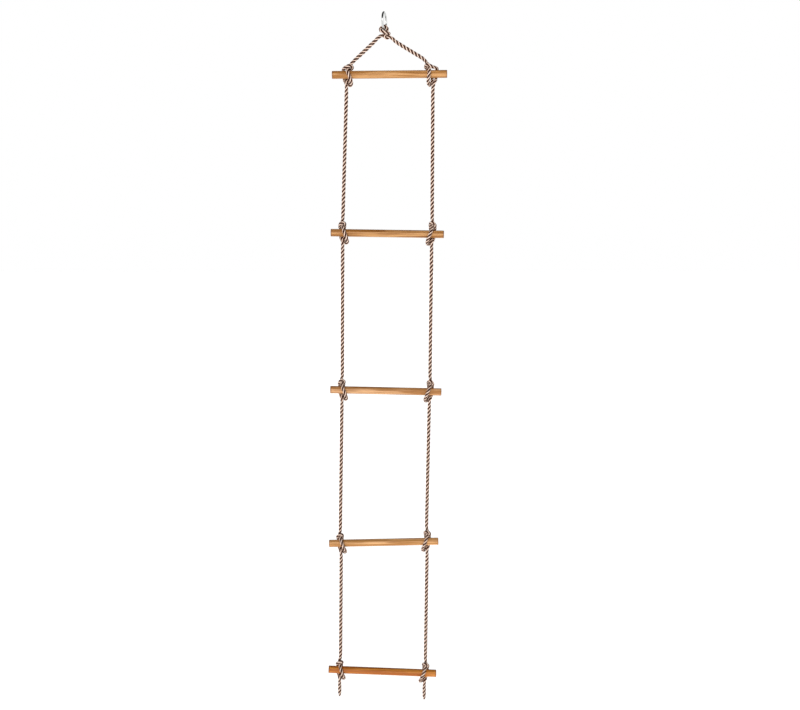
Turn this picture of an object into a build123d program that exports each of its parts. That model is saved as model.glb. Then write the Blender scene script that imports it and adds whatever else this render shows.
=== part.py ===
from build123d import *
import math
import os

# Rope ladder for escape: a steel ring, one long laid rope doubled over the ring's wire and knotted
# under it, and five wooden rungs held by a hitch on each side.
# Millimetres. +X is to the ladder's right, +Y to its back, +Z up.
# The origin is the inner top of the ring, where the hook that holds the ladder bears.

# --- Driving dimensions -----------------------------------------------------------------------
ring_wire = 6.0             # diameter of the ring's wire
ring_inner = 42.0           # inner diameter of the ring
ring_turn = 12.0            # the ring hangs this many degrees off edge-on

rope_diameter = 12.0        # free rope
knot_rope_diameter = 10.4   # the same rope, packed where it is pulled into a knot

rung_diameter = 22.0
rung_length = 330.0
rung_edge = 1.2             # rounding of the rung's end edges

# Centre x, centre z, tilt in degrees (right end up) and half the spacing of the two ropes
rungs = [
    (15.0, -169.0, 0.5, 124.0),
    (8.0, -622.0, -0.86, 130.0),
    (3.0, -1086.0, -1.25, 130.0),
    (-4.0, -1549.0, 1.2, 130.0),
    (-9.0, -1956.0, -2.3, 130.0),
]

fold_above = (0.0, 46.5)    # u and z, from the hitch's middle, of the fold over a hitch
fold_above_first = (30.0, 45.2)     # the same on the first rung, where the rope leans inwards
fold_below = (0.0, -42.0)   # the same for the fold under a hitch
knot_fold_left = (-28.5, -33.0)     # x and z, from the ring's lowest wire, of the left leg's fold
knot_fold_right = (32.0, -33.0)

tail_length = 43.0          # from the fold under the last rung to the tip
tail_taper = 14.0           # length of the cut and fused end
tail_tip_diameter = 3.0

sides = {"left": -1, "right": 1}

# --- Rope routes in the knots -----------------------------------------------------------------
# A hitch, seen from the front: the rope comes from above behind its own collar, crosses the
# rung's front, turns back under the rung, rises behind it, goes over as the collar, comes down
# behind the rung and leaves through its own hook. Each point is u, y, z from the hitch's middle
# on the rung's axis, where u runs along the rung to the ladder's inside.
hitch_route = [
    (0, 0, 39.5), (0, 0.5, 32), (1, -4.5, 23), (4, -12, 13.5), (7.5, -17, 2.5),
    (10.5, -16, -8), (12.5, -10.5, -18), (12, -2.5, -25.5), (9, 6.5, -28.5), (4, 14, -26),
    (-2.5, 19, -19.5), (-6.5, 20, -8.5), (-10, 17, 4), (-12, 10, 15), (-12, 1, 24.5),
    (-9, -7.5, 31), (-2.5, -11.5, 35), (5.5, -11, 34.5), (11, -5, 31), (12.5, 3.5, 23),
    (11, 12, 13.5), (8, 17, 3), (5, 16.5, -6.5), (2.5, 9.5, -15), (0, 2.5, -22),
    (-0.5, -2, -28), (0, -1.5, -34.5),
]
# On the first rung the rope arrives from the ring, so the collar leans inwards with it.
first_hitch_route = [
    (25, 0, 41), (21, 0, 37.5), (14.5, -0.5, 32), (10, -4, 24), (8.5, -10.5, 15.5),
    (9.5, -16.5, 5), (11, -16.5, -5.5), (12.5, -11.5, -16), (12.5, -3, -24), (9.5, 6.5, -28),
    (4, 14.5, -26), (-1.5, 19.5, -18.5), (-6, 20, -7), (-8, 16, 6), (-7.5, 8, 17.5),
    (-3.5, -1.5, 26.5), (3, -9.5, 31.5), (12, -13.5, 32), (20, -11, 28), (23, -3, 22.5),
    (20.5, 7.5, 16), (15.5, 15.5, 7.5), (9.5, 17.5, -2.5), (5, 13.5, -11.5), (1.5, 5, -18.5),
    (0, -1.5, -26), (-0.5, -1.5, -34.5),
]
# The top knot: the right leg rises, goes over the ring's wire, comes down on the left, takes a
# turn round the right leg, and leaves over its own turn. x, y, z from the ring's lowest wire.
top_knot_route = [
    (26.5, 0, -29.5), (21, 0.5, -25.5), (16, 1.5, -21), (12.5, 3, -14.5), (12, 2.5, -4.5),
    (9.5, 1.5, 4.5), (3, 0.5, 9.5), (-4.5, -1, 9), (-10, -2.5, 3), (-11.5, -5.5, -6),
    (-8.5, -8.5, -14.5), (-1, -10, -19), (9, -10.5, -18), (18.5, -8, -14.5), (23.5, -1, -11.5),
    (23, 8, -9.5), (17, 13.5, -9.5), (8.5, 14, -9.5), (2, 8.5, -10), (1, -0.5, -9),
    (1.5, -10, -7), (0, -17.5, -9), (-3, -21, -14.5), (-7, -20, -21), (-11, -14.5, -24),
    (-14.5, -7, -25), (-18.5, -1.5, -26), (-23, 0, -29),
]

# --- Values worked out from them --------------------------------------------------------------
rope_radius = rope_diameter / 2
ring_radius = (ring_inner + ring_wire) / 2
ring_centre = Vector(0, 0, -ring_inner / 2)
ring_bottom = ring_centre - Vector(0, 0, ring_radius)
arc_share = 0.45            # share of the shorter run that each arc takes up


def rung_plane(number):
    """The plane at a rung's middle: x along the rung, y to the back, z up."""
    x, z, tilt, _ = rungs[number - 1]
    lean = math.radians(tilt)
    return Plane(
        origin=(x, 0, z),
        x_dir=(math.cos(lean), 0, math.sin(lean)),
        z_dir=(-math.sin(lean), 0, math.cos(lean)),
    )


def on_rung(number, side, u, y, z):
    """A point given from a hitch's middle, in the ladder's frame."""
    half_spacing = rungs[number - 1][3]
    local = Vector(sides[side] * (half_spacing - u), y, z)
    return rung_plane(number).from_local_coords(local)


def fold_over(number, side):
    u, z = fold_above_first if number == 1 else fold_above
    return on_rung(number, side, u, 0, z)


def fold_under(number, side):
    u, z = fold_below
    return on_rung(number, side, u, 0, z)


def knot_fold(side):
    x, z = knot_fold_left if side == "left" else knot_fold_right
    return ring_bottom + Vector(x, 0, z)


def corner_radii(points):
    """Each corner's arc is as large as its two runs allow."""
    radii = []
    for before, corner, after in zip(points, points[1:], points[2:]):
        run_in, run_out = corner - before, after - corner
        half_turn = math.radians(run_in.get_angle(run_out)) / 2
        shorter = min(run_in.length, run_out.length)
        radii.append(arc_share * shorter / math.tan(half_turn))
    return radii


def knotted_rope(label, points):
    """A rope in a knot: a tube along straight runs joined by tangent arcs."""
    radii = corner_radii(points)
    with BuildPart() as rope:
        with BuildLine() as route:
            FilletPolyline(*points, radius=radii)
        centre_line = route.wire()
        with BuildSketch(Plane(origin=centre_line @ 0, z_dir=centre_line % 0)):
            Circle(knot_rope_diameter / 2)
        sweep(path=centre_line)
    section = math.pi * knot_rope_diameter ** 2 / 4
    share = rope.part.volume / (section * centre_line.length)
    print(f"{label}: length {centre_line.length:.1f}, volume / (section x length) {share:.4f}")
    print("   radii", " ".join(f"{radius:.0f}" for radius in radii))
    finish(rope.part, label)


def finish(part, label):
    part.label = label
    export_step(part, f"parts/{label}.step")


os.makedirs("parts", exist_ok=True)

# --- Hanging ring -----------------------------------------------------------------------------
turn = math.radians(ring_turn)
ring_across = Vector(math.sin(turn), math.cos(turn), 0)
ring_normal = Vector(math.cos(turn), -math.sin(turn), 0)
with BuildPart() as hanging_ring:
    with BuildSketch(Plane(origin=ring_centre, x_dir=ring_across, z_dir=(0, 0, 1))):
        with Locations((ring_radius, 0)):
            Circle(ring_wire / 2)
    revolve(axis=Axis(ring_centre, ring_normal))
finish(hanging_ring.part, "hanging_ring")

# --- Top knot ---------------------------------------------------------------------------------
knotted_rope("top_knot", [ring_bottom + Vector(*point) for point in top_knot_route])

# --- Rungs ------------------------------------------------------------------------------------
for number in range(1, len(rungs) + 1):
    middle = rung_plane(number)
    with BuildPart() as rung:
        with BuildSketch(Plane(origin=middle.origin, x_dir=middle.y_dir, z_dir=middle.x_dir)):
            Circle(rung_diameter / 2)
        extrude(amount=rung_length / 2, both=True)
        fillet(rung.edges().filter_by(GeomType.CIRCLE), rung_edge)
    finish(rung.part, f"rung_{number}")

# --- Hitches ----------------------------------------------------------------------------------
for number in range(1, len(rungs) + 1):
    route_points = first_hitch_route if number == 1 else hitch_route
    for side in sides:
        points = [on_rung(number, side, *point) for point in route_points]
        knotted_rope(f"{side}_hitch_{number}", points)


# --- Straight ropes ---------------------------------------------------------------------------
def taut_rope(label, start, end):
    """A straight rope with a round end in each of the two folds that it swings on."""
    length = (end - start).length
    with BuildPart() as rope:
        with BuildSketch(Plane(origin=start, x_dir=end - start, z_dir=(0, 1, 0))):
            with BuildLine():
                Line((-rope_radius, 0), (length + rope_radius, 0))
                CenterArc((length, 0), rope_radius, 0, 90)
                Line((length, rope_radius), (0, rope_radius))
                CenterArc((0, 0), rope_radius, 90, 90)
            make_face()
        revolve(axis=Axis(start, end - start))
    finish(rope.part, label)


for side in sides:
    taut_rope(f"{side}_bridle_rope", knot_fold(side), fold_over(1, side))
    for number in range(1, len(rungs)):
        taut_rope(f"{side}_rope_{number}", fold_under(number, side), fold_over(number + 1, side))

# --- Tails ------------------------------------------------------------------------------------
for side in sides:
    start = fold_under(len(rungs), side)
    with BuildPart() as tail:
        with BuildSketch(Plane(origin=start, x_dir=(0, 0, -1), z_dir=(0, 1, 0))):
            with BuildLine():
                Line((-rope_radius, 0), (tail_length, 0))
                Line((tail_length, 0), (tail_length, tail_tip_diameter / 2))
                Line((tail_length, tail_tip_diameter / 2), (tail_length - tail_taper, rope_radius))
                Line((tail_length - tail_taper, rope_radius), (0, rope_radius))
                CenterArc((0, 0), rope_radius, 90, 90)
            make_face()
        revolve(axis=Axis(start, (0, 0, -1)))
    finish(tail.part, f"{side}_tail")
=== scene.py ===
"""The looks of an escape rope ladder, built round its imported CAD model. Everything is in metres.

+X is to the ladder's right, +Y to its back, +Z up, and the origin is the ring's inner top.
"""

import math

import bpy
import numpy as np
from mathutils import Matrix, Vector


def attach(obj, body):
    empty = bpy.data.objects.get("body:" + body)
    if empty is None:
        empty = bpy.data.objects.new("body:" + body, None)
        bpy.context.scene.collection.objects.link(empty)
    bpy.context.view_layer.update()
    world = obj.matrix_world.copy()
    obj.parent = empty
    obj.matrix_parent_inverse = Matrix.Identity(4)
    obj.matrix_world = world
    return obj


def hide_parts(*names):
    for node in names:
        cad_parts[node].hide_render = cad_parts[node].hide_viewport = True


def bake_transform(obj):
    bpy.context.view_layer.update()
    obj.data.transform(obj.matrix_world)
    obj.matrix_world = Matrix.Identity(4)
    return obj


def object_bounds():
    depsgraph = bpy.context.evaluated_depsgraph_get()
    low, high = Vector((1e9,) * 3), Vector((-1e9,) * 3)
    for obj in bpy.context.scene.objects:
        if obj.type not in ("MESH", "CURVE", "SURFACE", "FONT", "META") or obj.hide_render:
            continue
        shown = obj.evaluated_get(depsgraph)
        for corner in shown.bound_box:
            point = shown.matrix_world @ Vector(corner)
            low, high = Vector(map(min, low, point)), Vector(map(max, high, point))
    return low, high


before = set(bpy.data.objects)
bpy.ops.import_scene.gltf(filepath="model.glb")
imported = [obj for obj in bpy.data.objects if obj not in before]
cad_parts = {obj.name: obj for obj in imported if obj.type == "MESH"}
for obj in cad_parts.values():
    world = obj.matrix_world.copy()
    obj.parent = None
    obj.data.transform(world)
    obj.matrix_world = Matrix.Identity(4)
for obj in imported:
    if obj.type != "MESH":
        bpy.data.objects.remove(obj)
cad_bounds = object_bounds()

# --- Driving sizes ------------------------------------------------------------------------------
ROPE = 0.0112  # outside diameter of the free rope: it measures a little under its nominal 12 mm
KNOT_ROPE = 0.0099  # the same rope, packed where it is pulled into a knot
PITCH = 0.037  # one turn of a strand round the rope
STRANDS = 3
STRAND_OFFSET = 0.255  # the strand's middle from the rope's, in rope diameters
STRAND_DEEP = 0.245  # the strand's half thickness towards the rope's middle
STRAND_WIDE = 0.278  # its half thickness across that
RING_STEP = 0.002  # between one ring of points and the next along a strand
RING_POINTS = 18
LAY_SCALE = 10  # the lay's UV map counts this much for a metre of rope
FOLD_IN, FOLD_OUT = 0.012, 0.016  # lengths into the knot and along the rope that go with each fold; the rope's pieces meet FOLD_IN into a knot from its fold
PACKING_RUN = 0.02  # length over which the rope packs as it enters a knot
ONE_POINT_ON = 0.072  # a point of the route this far along a straight stretch
TAIL_TAPER = 0.014
TAIL_TIP = 0.3  # thickness of the fused tip, as a share of the rope's
TAIL_CUT = 0.085  # the tail's piece starts this far from the tip, behind the last rung

SIDES = {"left": -1, "right": 1}

# Centre x, centre z, tilt in degrees (right end up) and half the spacing of the two ropes
RUNGS = [
    (0.015, -0.169, 0.5, 0.124),
    (0.008, -0.622, -0.86, 0.130),
    (0.003, -1.086, -1.25, 0.130),
    (-0.004, -1.549, 1.2, 0.130),
    (-0.009, -1.956, -2.3, 0.130),
]
LAST = len(RUNGS)
RUNG_LENGTH = 0.330
RING_BOTTOM = Vector((0, 0, -0.045))  # middle of the ring's lowest wire

# The rope's route, as u, y, z from a hitch's middle, where u runs to the ladder's inside
FOLD_ABOVE = (0, 0, 0.0465)
FOLD_ABOVE_FIRST = (0.030, 0, 0.0452)
FOLD_BELOW = (0, 0, -0.042)
# Under the rung from its front to its back, on the ladder's inside
HOOK = [
    (0.004, -0.0165, 0.004), (0.008, -0.0168, -0.0055), (0.0115, -0.0125, -0.0145),
    (0.014, -0.006, -0.0215), (0.0135, 0.002, -0.028), (0.009, 0.008, -0.0305),
    (0.005, 0.0115, -0.027), (0.003, 0.0145, -0.02), (0.0015, 0.0175, -0.012),
    (0.0015, 0.0193, -0.004), (0.003, 0.0175, 0.007),
]
# Down behind the rung on the ladder's outside, and forward to the hanging rope's line
WAY_OUT = [
    (-0.0072, 0.018, -0.004), (-0.0064, 0.013, -0.012), (-0.0048, 0.005, -0.017),
    (-0.0018, -0.0018, -0.0208), (0, -0.004, -0.027), (0, -0.0025, -0.034),
]
HITCH_ROUTES = {
    "left": [
        (-0.0005, 0, 0.0395), (-0.002, 0.0005, 0.0325), (-0.003, -0.0005, 0.026),
        (-0.001, -0.005, 0.0195), (0.001, -0.011, 0.0135), *HOOK,
        (0.004, 0.0105, 0.016), (0.0055, 0.003, 0.022), (0.0055, -0.0045, 0.027),
        (0.0015, -0.01, 0.03), (-0.004, -0.0115, 0.0285), (-0.0085, -0.008, 0.024),
        (-0.0095, 0.001, 0.0185), (-0.0085, 0.01, 0.0135), (-0.0078, 0.0165, 0.006), *WAY_OUT,
    ],
    "right": [
        (-0.0005, 0, 0.0415), (-0.002, 0.0005, 0.035), (-0.0025, 0, 0.028),
        (-0.001, -0.0045, 0.0205), (0.001, -0.011, 0.0135), *HOOK,
        (0.004, 0.011, 0.0165), (0.0055, 0.004, 0.0245), (0.0055, -0.004, 0.0305),
        (0.002, -0.0095, 0.034), (-0.0035, -0.011, 0.033), (-0.008, -0.008, 0.028),
        (-0.009, -0.0005, 0.0215), (-0.0085, 0.0095, 0.0145), (-0.0078, 0.0165, 0.006), *WAY_OUT,
    ],
}
# The same at the first rung, where the rope comes in at a slant
FIRST_HITCH_ROUTES = {
    "left": [
        (0.0245, 0, 0.0405), (0.018, -0.0005, 0.034), (0.0115, -0.001, 0.0265),
        (0.0055, -0.0035, 0.0205), (0.0025, -0.0095, 0.014), (0.0045, -0.016, 0.005),
        (0.009, -0.0168, -0.005), (0.013, -0.0125, -0.0145), (0.015, -0.006, -0.0215),
        (0.014, 0.002, -0.028), (0.01, 0.008, -0.0305), (0.0065, 0.0115, -0.027),
        (0.005, 0.0145, -0.02), (0.003, 0.0175, -0.012), (0.0015, 0.0193, -0.004),
        (0.0005, 0.018, 0.006), (0.002, 0.013, 0.0125), (0.008, 0.0095, 0.0155), (0.015, 0.0045, 0.017),
        (0.018, -0.003, 0.0195), (0.016, -0.01, 0.0225), (0.01, -0.0135, 0.024),
        (0.0035, -0.0135, 0.0215), (-0.0025, -0.0105, 0.0188), (-0.007, -0.004, 0.0168),
        (-0.009, 0.0045, 0.0155), (-0.009, 0.012, 0.011), (-0.008, 0.0168, 0.0045), *WAY_OUT,
    ],
    "right": [
        (0.025, -0.0005, 0.041), (0.02, -0.0015, 0.035), (0.0155, -0.003, 0.029),
        (0.012, -0.0065, 0.022), (0.01, -0.012, 0.014), (0.0105, -0.017, 0.0045),
        (0.0117, -0.0168, -0.0055), (0.0132, -0.0125, -0.0145), (0.0142, -0.006, -0.0215),
        (0.0122, 0.0025, -0.0285), (0.0087, 0.008, -0.031), (0.005, 0.0115, -0.0275),
        (0.0025, 0.0145, -0.0205), (0.001, 0.0175, -0.012), (0.0007, 0.0193, -0.0035),
        (0.0027, 0.018, 0.006), (0.0065, 0.0135, 0.012), (0.014, 0.0095, 0.0145),
        (0.02, 0.0035, 0.0175), (0.021, -0.0055, 0.0215), (0.0175, -0.013, 0.0245),
        (0.011, -0.016, 0.023), (0.004, -0.0135, 0.019), (-0.003, -0.01, 0.017),
        (-0.0095, -0.0035, 0.0165), (-0.0125, 0.005, 0.0155), (-0.012, 0.012, 0.0105),
        (-0.0108, 0.017, 0.003), (-0.01, 0.018, -0.0035), (-0.0097, 0.013, -0.0115),
        (-0.0087, 0.0055, -0.0165), (-0.0058, -0.001, -0.021), (-0.0028, -0.0045, -0.0275),
        (-0.0008, -0.0025, -0.035),
    ],
}
# The top knot's route, x, y, z from the ring's lowest wire, from the right leg to the left
TOP_KNOT_ROUTE = [
    (0.0255, 0, -0.0255), (0.019, -0.0005, -0.021), (0.0125, -0.001, -0.0205),
    (0.006, -0.0015, -0.0235), (0.0005, -0.001, -0.019), (0.0035, 0, -0.0105), (0.0085, 0.001, -0.0035),
    (0.0085, 0.0005, 0.004), (0.0045, 0, 0.0095), (-0.0025, -0.0005, 0.01), (-0.0085, -0.001, 0.006),
    (-0.011, -0.003, 0), (-0.0085, -0.008, -0.005), (-0.002, -0.011, -0.0075), (0.006, -0.0115, -0.009),
    (0.0125, -0.007, -0.0105), (0.0145, 0.001, -0.011), (0.01, 0.0085, -0.0115), (0.002, 0.01, -0.0125),
    (-0.006, 0.0075, -0.014), (-0.0125, 0.003, -0.0175), (-0.0185, 0.0005, -0.0225),
    (-0.024, 0, -0.028),
]
KNOT_FOLDS = {"left": (-0.0285, 0, -0.033), "right": (0.032, 0, -0.033)}
TAIL_LENGTH = 0.043  # from the fold under the last rung to the tip


# --- The rope's line ----------------------------------------------------------------------------
def on_rung(number, side, point):
    """A point given from a hitch's middle, in the ladder's frame."""
    u, y, z = point
    middle_x, middle_z, tilt, half_spacing = RUNGS[number - 1]
    lean = math.radians(tilt)
    along = SIDES[side] * (half_spacing - u)
    x = middle_x + along * math.cos(lean) - z * math.sin(lean)
    return Vector((x, y, middle_z + along * math.sin(lean) + z * math.cos(lean)))


def fold_over(number, side):
    return on_rung(number, side, FOLD_ABOVE_FIRST if number == 1 else FOLD_ABOVE)


def fold_under(number, side):
    return on_rung(number, side, FOLD_BELOW)


def knot_fold(side):
    return RING_BOTTOM + Vector(KNOT_FOLDS[side])


def tail_tip(side):
    return fold_under(LAST, side) - Vector((0, 0, TAIL_LENGTH))


def route_down(side):
    """The route's points on one side, from the top knot down to the tail's tip."""
    points = [knot_fold(side)]
    for number in range(1, LAST + 1):
        points.append(fold_over(number, side))
        hitch = FIRST_HITCH_ROUTES[side] if number == 1 else HITCH_ROUTES[side]
        points.extend(on_rung(number, side, point) for point in hitch)
        upper = fold_under(number, side)
        points.append(upper)
        if number < LAST:
            lower = fold_over(number + 1, side)
            down = (lower - upper).normalized()
            points.append(upper + down * ONE_POINT_ON)
            points.append(lower - down * ONE_POINT_ON)
    points.append(tail_tip(side))
    return points


def smooth_line(points):
    """The points of the NURBS spline whose control points are the route's points."""
    curve = bpy.data.curves.new("route", "CURVE")
    curve.dimensions = "3D"
    curve.resolution_u = 32
    spline = curve.splines.new("NURBS")
    spline.points.add(len(points) - 1)
    for control, point in zip(spline.points, points):
        control.co = (*point, 1)
    spline.order_u = 3
    spline.use_endpoint_u = True
    holder = bpy.data.objects.new("route", curve)
    bpy.context.collection.objects.link(holder)
    mesh = bpy.data.meshes.new_from_object(holder)
    line = np.array([vertex.co for vertex in mesh.vertices])
    bpy.data.objects.remove(holder)
    bpy.data.curves.remove(curve)
    bpy.data.meshes.remove(mesh)
    return line


def evenly(line, step):
    """The line's points, moved along it to be evenly spaced."""
    lengths = np.linalg.norm(np.diff(line, axis=0), axis=1)
    reach = np.concatenate([[0], np.cumsum(lengths)])
    stations = np.linspace(0, reach[-1], round(reach[-1] / step) + 1)
    return np.column_stack([np.interp(stations, reach, line[:, axis]) for axis in range(3)])


def normalised(vectors):
    return vectors / np.linalg.norm(vectors, axis=-1, keepdims=True)


def frames_along(line):
    """At each point, two directions across the line that don't spin round it."""
    tangents = normalised(np.gradient(line, axis=0))
    across = np.zeros_like(line)
    across[0] = normalised(np.cross(tangents[0], (0, 1, 0)))
    for i in range(1, len(line)):
        previous = across[i - 1]
        flat = previous - np.dot(previous, tangents[i]) * tangents[i]
        across[i] = flat / np.linalg.norm(flat)
    return across, np.cross(tangents, across)


whole_route = route_down("right")[::-1]
whole_route += [RING_BOTTOM + Vector(point) for point in TOP_KNOT_ROUTE]
whole_route += route_down("left")
rope_line = evenly(smooth_line(whole_route), RING_STEP)
rope_across, rope_third = frames_along(rope_line)
rope_step = np.linalg.norm(np.diff(rope_line, axis=0), axis=1).mean()
rope_reach = np.arange(len(rope_line)) * rope_step


def station(point):
    """The number of the rope's point that is nearest to a place on its route."""
    return int(np.linalg.norm(rope_line - np.array(point), axis=1).argmin())


def stations(length):
    return round(length / rope_step)


def smoothstep(value):
    value = np.clip(value, 0, 1)
    return value * value * (3 - 2 * value)


def rope_thickness():
    """The rope's diameter at each of its points: less in the knots, tapered at both tips."""
    inside = np.zeros(len(rope_line))
    knots = [(station(knot_fold("right")), station(knot_fold("left")))]
    for number in range(1, LAST + 1):
        for side in SIDES:
            knots.append(sorted((station(fold_over(number, side)), station(fold_under(number, side)))))
    for first, last in knots:
        into = (rope_reach - rope_reach[first]) / PACKING_RUN + 0.5
        out = (rope_reach[last] - rope_reach) / PACKING_RUN + 0.5
        inside = np.maximum(inside, smoothstep(np.minimum(into, out)))
    thickness = ROPE + (KNOT_ROPE - ROPE) * inside
    from_tip = np.minimum(rope_reach, rope_reach[-1] - rope_reach)
    share = np.sqrt(np.clip(from_tip / TAIL_TAPER, 0, 1))
    return thickness * (TAIL_TIP + (1 - TAIL_TIP) * share)


rope_diameters = rope_thickness()


# --- Rope pieces --------------------------------------------------------------------------------
def strand_points(first, last, number):
    """Rings of points round one strand, in the order of the rope's points."""
    reach = rope_reach[first : last + 1, None]
    turn = 2 * math.pi * (reach / PITCH + number / STRANDS)
    across, third = rope_across[first : last + 1], rope_third[first : last + 1]
    outward = np.cos(turn) * across + np.sin(turn) * third
    sideways = np.cos(turn) * third - np.sin(turn) * across
    diameter = rope_diameters[first : last + 1, None, None]
    angle = math.pi + 2 * math.pi * np.arange(RING_POINTS) / RING_POINTS
    out = STRAND_OFFSET + STRAND_DEEP * np.cos(angle)[None, :, None]
    over = STRAND_WIDE * np.sin(angle)[None, :, None]
    rings = rope_line[first : last + 1, None, :] + diameter * (
        out * outward[:, None, :] + over * sideways[:, None, :]
    )
    return rings.reshape(-1, 3)


def rope_mesh(name, first, last):
    """Three strands of laid rope between two of the rope's points, as one closed mesh each."""
    vertices, faces, corners = [], [], []
    count = last - first + 1
    for number in range(STRANDS):
        base = number * count * RING_POINTS
        vertices.append(strand_points(first, last, number))
        for i in range(count - 1):
            low, high = rope_reach[first + i : first + i + 2] * LAY_SCALE
            for j in range(RING_POINTS):
                k = (j + 1) % RING_POINTS
                here, there = base + i * RING_POINTS, base + (i + 1) * RING_POINTS
                faces.append((here + j, here + k, there + k, there + j))
                left, right = j / RING_POINTS, (j + 1) / RING_POINTS
                corners += [(left, low), (right, low), (right, high), (left, high)]
        ring = list(range(base, base + RING_POINTS))
        faces.append(ring[::-1])
        end = base + (count - 1) * RING_POINTS
        faces.append(list(range(end, end + RING_POINTS)))
        corners += [(0, rope_reach[first] * LAY_SCALE)] * RING_POINTS
        corners += [(0, rope_reach[last] * LAY_SCALE)] * RING_POINTS
    mesh = bpy.data.meshes.new(name)
    mesh.from_pydata(np.concatenate(vertices).tolist(), [], faces)
    lay = mesh.uv_layers.new(name="lay")
    lay.data.foreach_set("uv", np.array(corners, np.float32).ravel())
    strand = mesh.attributes.new("strand", "FLOAT", "POINT")
    strand.data.foreach_set("value", np.repeat(np.arange(STRANDS), count * RING_POINTS).astype(np.float32))
    mesh.shade_smooth()
    mesh.validate()
    piece = bpy.data.objects.new(name, mesh)
    bpy.context.collection.objects.link(piece)
    mesh.materials.append(rope_material)
    return piece


def place_rope(name, first, last, nodes, bodies, fold=None, far_end="object"):
    """A stretch of the rope, which hides the CAD parts it stands for and rides on one body, or, given a
    fold, is left in place with its placement baked into its mesh.
    """
    first, last = sorted((first, last))
    piece = rope_mesh(name, first, last)
    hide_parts(*nodes)
    if fold is None:
        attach(piece, *bodies)
    else:
        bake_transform(piece)


def fold_bend(place, along, before, after):
    direction = along.normalized()
    return place, direction * before, direction * after


def build_rope():
    """Every stretch of the rope, from the top knot down each side."""
    knot_ends = {side: station(knot_fold(side)) for side in SIDES}
    place_rope("top_knot_rope", *knot_ends.values(), ["top_knot"], ["top_knot"])
    for side, sign in SIDES.items():
        away = stations(FOLD_IN) * -sign  # the rope's points count up on the left and down on the right
        upper = knot_ends[side]
        for number in range(1, LAST + 1):
            over, under = station(fold_over(number, side)), station(fold_under(number, side))
            above = knot_fold(side) if number == 1 else fold_under(number - 1, side)
            bend = fold_bend(fold_over(number, side), fold_over(number, side) - above, FOLD_OUT, FOLD_IN)
            hitch_top, hitch_end = over + away, under - away
            if number == 1:
                leg = f"{side}_bridle_rope"
                place_rope(f"{leg}_laid", upper, hitch_top, [leg], ["top_knot", "rung_1"], bend)
            else:
                rope = f"{side}_rope_{number - 1}"
                middle = (upper + hitch_top) // 2
                bodies = [f"rung_{number - 1}", f"span_{number - 1}"]
                place_rope(f"{rope}_upper", upper, middle, [rope], bodies, upper_bend)
                bodies = [f"span_{number - 1}", f"rung_{number}"]
                place_rope(f"{rope}_lower", middle, hitch_top, [rope], bodies, bend)
            if number == LAST:
                below = tail_tip(side)
                hitch_end = station(tail_tip(side)) - stations(TAIL_CUT) * -sign
            else:
                below = fold_over(number + 1, side)
            hitch = f"{side}_hitch_{number}"
            place_rope(f"{hitch}_laid", hitch_top, hitch_end, [hitch], [f"rung_{number}"])
            along = below - fold_under(number, side)
            upper_bend = fold_bend(fold_under(number, side), along, FOLD_IN, FOLD_OUT)
            upper = hitch_end
        tail = f"{side}_tail"
        bodies = [f"rung_{LAST}", tail]
        bend = fold_bend(fold_under(LAST, side), Vector((0, 0, -1)), FOLD_IN, FOLD_IN * 2)
        place_rope(f"{tail}_laid", hitch_end, station(tail_tip(side)), [tail], bodies, bend, "bare")


# --- Materials ----------------------------------------------------------------------------------
def new_material(name):
    material = bpy.data.materials.new(name)
    material.use_nodes = True
    tree = material.node_tree
    shader = tree.nodes["Principled BSDF"]
    return material, tree, shader


def node(tree, kind, settings=None, **inputs):
    """A new node, with its settings, and its inputs as values or as another node's output."""
    made = tree.nodes.new(kind)
    for key, value in (settings or {}).items():
        setattr(made, key, value)
    for key, value in inputs.items():
        socket = made.inputs[int(key[1:])] if key[1:].isdigit() else made.inputs[key.replace("_", " ")]
        if isinstance(value, bpy.types.NodeSocket):
            tree.links.new(value, socket)
        else:
            socket.default_value = value
    return made


def maths(tree, operation, first, second=0.0, third=0.0):
    made = node(tree, "ShaderNodeMath", {"operation": operation}, i0=first, i1=second, i2=third)
    return made.outputs[0]


def step_between(tree, value, low, high, new_low=0.0, new_high=1.0):
    made = node(tree, "ShaderNodeMapRange", {"interpolation_type": "SMOOTHSTEP"}, i0=value, i1=low, i2=high)
    made.inputs[3].default_value = new_low
    made.inputs[4].default_value = new_high
    return made.outputs[0]


def mix(tree, share, first, second, blend="MIX"):
    made = node(tree, "ShaderNodeMix", {"data_type": "RGBA", "blend_type": blend}, i0=share)
    for index, colour in ((6, first), (7, second)):
        if isinstance(colour, bpy.types.NodeSocket):
            tree.links.new(colour, made.inputs[index])
        else:
            made.inputs[index].default_value = (*colour, 1)
    return made.outputs[2]


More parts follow.
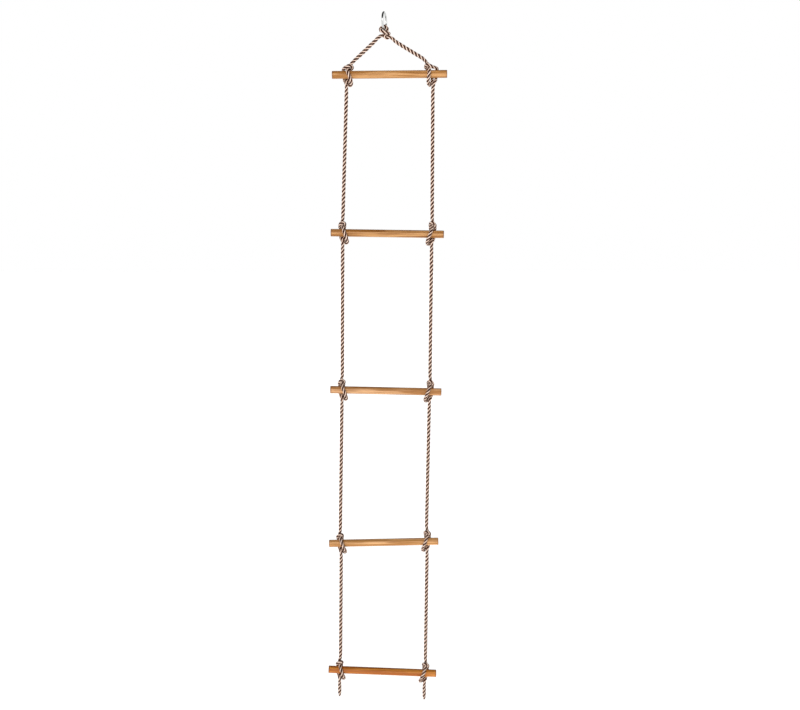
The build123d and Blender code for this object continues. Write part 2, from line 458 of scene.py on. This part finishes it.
def make_rope_material():
    """Pale yarns on each strand's crown and dark brown down its sides, placed by the lay's UV map: the dark
    sides are partly dark yarn and partly painted shade in the grooves between the strands, and painted shade
    darkens the grooves between the yarns.
    """
    material, tree, shader = new_material("laid_rope")
    lay = node(tree, "ShaderNodeUVMap", {"uv_map": "lay"})
    place = node(tree, "ShaderNodeSeparateXYZ", i0=lay.outputs[0])
    strand = node(tree, "ShaderNodeAttribute", {"attribute_name": "strand"}).outputs["Fac"]
    around, along = place.outputs[0], place.outputs[1]
    yarns, yarn_turns = 9, 4.2  # round a strand, and how often they turn in a unit of the lay's length
    crown = maths(tree, "COSINE", maths(tree, "MULTIPLY", maths(tree, "SUBTRACT", around, 0.5), 2 * math.pi))
    twist = maths(tree, "ADD", around, maths(tree, "MULTIPLY", along, yarn_turns))
    yarn = maths(tree, "MULTIPLY", twist, yarns)
    wave = maths(tree, "ABSOLUTE", maths(tree, "SINE", maths(tree, "MULTIPLY", yarn, math.pi)))
    spot = node(tree, "ShaderNodeCombineXYZ", i0=yarn, i1=maths(tree, "MULTIPLY", along, 6.0))
    spot.inputs[2].default_value = 0
    tree.links.new(maths(tree, "MULTIPLY", strand, 7.3), spot.inputs[2])
    fray = node(tree, "ShaderNodeTexNoise", Vector=spot.outputs[0], Scale=1.0, Detail=3.0, Roughness=0.6)
    fibre_place = node(tree, "ShaderNodeCombineXYZ", i0=maths(tree, "MULTIPLY", yarn, 6.0), i1=along)
    fibre = node(tree, "ShaderNodeTexNoise", Vector=fibre_place.outputs[0], Scale=9.0, Detail=2.0)
    ragged = maths(tree, "MULTIPLY", maths(tree, "SUBTRACT", fray.outputs[0], 0.5), 0.2)
    pale_from, pale_full = 0.74, 0.84  # cosines of the angle from the crown; further round, the colour is dark yarn and painted shade in the grooves between the strands
    crown_vs_groove_shade = step_between(tree, maths(tree, "ADD", crown, ragged), pale_from, pale_full)
    pale = mix(tree, fray.outputs[0], (0.78, 0.54, 0.42), (0.97, 0.79, 0.66))
    dark = mix(tree, fibre.outputs[0], (0.034, 0.011, 0.005), (0.118, 0.044, 0.023))
    # Pale crown against dark sides: the dark sides are partly dark yarn and partly painted shade in the
    # grooves between the strands
    colour = mix(tree, crown_vs_groove_shade, dark, pale)
    # Painted shade in the grooves between the yarns, multiplied into the colour
    shade = step_between(tree, wave, 0.0, 0.5, 0.72, 1.0)
    grey = node(tree, "ShaderNodeCombineColor", i0=shade, i1=shade, i2=shade)
    tree.links.new(mix(tree, 1.0, colour, grey.outputs[0], "MULTIPLY"), shader.inputs["Base Color"])
    rough = step_between(tree, fibre.outputs[0], 0.2, 0.8, 0.62, 0.9)
    tree.links.new(rough, shader.inputs["Roughness"])
    shader.inputs["Specular IOR Level"].default_value = 0.2
    height = maths(tree, "ADD", wave, maths(tree, "MULTIPLY", fibre.outputs[0], 0.5))
    bump = node(tree, "ShaderNodeBump", Height=height, Distance=0.0004, Strength=0.8)
    tree.links.new(bump.outputs[0], shader.inputs["Normal"])
    return material


def make_wood_material(number):
    """Varnished straight-grained wood, with its rings and streaks in another place on each rung."""
    middle_x, middle_z, tilt, _ = RUNGS[number - 1]
    tint = WOOD_TINTS[number - 1]
    material, tree, shader = new_material(f"rung_wood_{number}")
    own = node(tree, "ShaderNodeTexCoord").outputs["Object"]
    shift = node(tree, "ShaderNodeMapping", {"vector_type": "TEXTURE"}, Vector=own)
    shift.inputs["Location"].default_value = (middle_x, 0, middle_z)
    shift.inputs["Rotation"].default_value = (0, -math.radians(tilt), 0)
    local = shift.outputs[0]
    stretched = node(tree, "ShaderNodeMapping", Vector=local)
    stretched.inputs["Location"].default_value = (number * 0.37, number * 0.011, number * 0.017)
    stretched.inputs["Scale"].default_value = (0.035, 1, 1)
    grain_space = stretched.outputs[0]
    wander = node(tree, "ShaderNodeTexNoise", Vector=grain_space, Scale=55.0, Detail=2.0)
    streak = node(tree, "ShaderNodeTexNoise", Vector=grain_space, Scale=420.0, Detail=4.0, Roughness=0.62)
    pores = node(tree, "ShaderNodeTexNoise", Vector=grain_space, Scale=1900.0, Detail=2.0)
    parts = node(tree, "ShaderNodeSeparateXYZ", i0=grain_space)
    depth = maths(tree, "ADD", parts.outputs[2], maths(tree, "MULTIPLY", parts.outputs[1], 0.45))
    depth = maths(tree, "ADD", depth, maths(tree, "MULTIPLY", wander.outputs[0], 0.010))
    ring = maths(tree, "FRACT", maths(tree, "MULTIPLY", depth, 330.0))
    late = step_between(tree, ring, 0.35, 0.95)
    band = node(tree, "ShaderNodeTexNoise", Vector=grain_space, Scale=190.0, Detail=1.0)
    base = mix(tree, step_between(tree, band.outputs[0], 0.42, 0.58), tint[1], tint[0])
    streaked = mix(tree, step_between(tree, streak.outputs[0], 0.48, 0.70, 0.0, 0.5), base, tint[2])
    ringed = mix(tree, maths(tree, "MULTIPLY", late, 0.35), streaked, tint[2])
    pored = mix(tree, step_between(tree, pores.outputs[0], 0.62, 0.75, 0.0, 0.25), ringed, tint[2])
    along = node(tree, "ShaderNodeSeparateXYZ", i0=local).outputs[0]
    dark_end = 0.005
    half = RUNG_LENGTH / 2
    end = step_between(tree, maths(tree, "ABSOLUTE", along), half - dark_end, half)
    worn = mix(tree, maths(tree, "MULTIPLY", end, 0.75), pored, tint[2])
    tree.links.new(worn, shader.inputs["Base Color"])
    rough = step_between(tree, streak.outputs[0], 0.3, 0.7, 0.38, 0.52)
    tree.links.new(rough, shader.inputs["Roughness"])
    shader.inputs["Specular IOR Level"].default_value = 0.3
    shader.inputs["Coat Weight"].default_value = 0.08
    shader.inputs["Coat Roughness"].default_value = 0.25
    height = maths(tree, "ADD", streak.outputs[0], maths(tree, "MULTIPLY", pores.outputs[0], 0.6))
    bump = node(tree, "ShaderNodeBump", Height=height, Distance=0.0003, Strength=0.35)
    tree.links.new(bump.outputs[0], shader.inputs["Normal"])
    return material


def make_steel_material():
    """Plated steel wire, with a soft haze and fine draw marks."""
    material, tree, shader = new_material("plated_steel")
    own = node(tree, "ShaderNodeTexCoord").outputs["Object"]
    haze = node(tree, "ShaderNodeTexNoise", Vector=own, Scale=260.0, Detail=4.0)
    marks = node(tree, "ShaderNodeTexNoise", Vector=own, Scale=1500.0, Detail=3.0)
    colour = mix(tree, haze.outputs[0], (0.50, 0.51, 0.50), (0.68, 0.69, 0.68))
    tree.links.new(colour, shader.inputs["Base Color"])
    shader.inputs["Metallic"].default_value = 1.0
    rough = step_between(tree, haze.outputs[0], 0.3, 0.7, 0.12, 0.26)
    tree.links.new(rough, shader.inputs["Roughness"])
    bump = node(tree, "ShaderNodeBump", Height=marks.outputs[0], Distance=0.0001, Strength=0.2)
    tree.links.new(bump.outputs[0], shader.inputs["Normal"])
    return material


# Each rung's pale streaks, its main colour and its late wood
WOOD_TINTS = [
    ((0.66, 0.345, 0.128), (0.40, 0.172, 0.038), (0.18, 0.055, 0.007)),
    ((0.64, 0.335, 0.125), (0.34, 0.138, 0.030), (0.145, 0.042, 0.006)),
    ((0.76, 0.43, 0.21), (0.41, 0.175, 0.046), (0.18, 0.057, 0.010)),
    ((0.80, 0.45, 0.20), (0.47, 0.21, 0.054), (0.22, 0.072, 0.012)),
    ((0.66, 0.26, 0.045), (0.42, 0.115, 0.008), (0.18, 0.038, 0.003)),
]

rope_material = make_rope_material()
build_rope()
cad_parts["hanging_ring"].material_slots[0].material = make_steel_material()
for number in range(1, LAST + 1):
    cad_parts[f"rung_{number}"].material_slots[0].material = make_wood_material(number)


# --- Floor, light and camera --------------------------------------------------------------------
def make_floor():
    """A plain pale floor well below the hanging ladder."""
    size, drop = 60.0, 0.5
    low = cad_bounds[0].z - drop
    mesh = bpy.data.meshes.new("floor")
    corners = [(-size, -size, low), (size, -size, low), (size, size, low), (-size, size, low)]
    mesh.from_pydata(corners, [], [(0, 1, 2, 3)])
    floor = bpy.data.objects.new("floor", mesh)
    bpy.context.collection.objects.link(floor)
    material, tree, shader = new_material("pale_floor")
    own = node(tree, "ShaderNodeTexCoord").outputs["Object"]
    cloud = node(tree, "ShaderNodeTexNoise", Vector=own, Scale=0.6, Detail=2.0)
    pale = mix(tree, cloud.outputs[0], (0.90, 0.90, 0.90), (0.93, 0.93, 0.93))
    tree.links.new(pale, shader.inputs["Base Color"])
    shader.inputs["Roughness"].default_value = 0.9
    shader.inputs["Emission Color"].default_value = (1, 1, 1, 1)
    shader.inputs["Emission Strength"].default_value = 0.85
    mesh.materials.append(material)


def make_world():
    """White walls all round, under a dark ceiling."""
    world = bpy.data.worlds.new("studio")
    world.use_nodes = True
    tree = world.node_tree
    direction = node(tree, "ShaderNodeTexCoord").outputs["Generated"]
    height = node(tree, "ShaderNodeSeparateXYZ", i0=direction).outputs[2]
    walls_end, ceiling_starts = 0.36, 0.56  # as the sine of the angle above the horizon
    level = step_between(tree, height, walls_end, ceiling_starts, 1.0, 0.05)
    background = tree.nodes["Background"]
    background.inputs["Color"].default_value = (1, 1, 1, 1)
    tree.links.new(level, background.inputs["Strength"])
    bpy.context.scene.world = world


def add_sun(name, direction, strength, angle):
    light = bpy.data.lights.new(name, "SUN")
    light.energy = strength
    light.angle = math.radians(angle)
    lamp = bpy.data.objects.new(name, light)
    lamp.rotation_mode = "QUATERNION"
    lamp.rotation_quaternion = Vector(direction).to_track_quat("-Z", "Y")
    bpy.context.collection.objects.link(lamp)


def make_camera():
    camera = bpy.data.cameras.new("camera")
    camera.lens = 45
    camera.sensor_width = 36
    holder = bpy.data.objects.new("camera", camera)
    holder.location = (0.045, -2.941, -0.646)
    holder.rotation_euler = (math.radians(90 - 6.46), 0, 0)
    bpy.context.collection.objects.link(holder)
    bpy.context.scene.camera = holder


make_floor()
make_world()
add_sun("key", (0.35, 1.0, -0.12), 1.75, 30)
make_camera()
bpy.context.scene.view_settings.view_transform = "Standard"
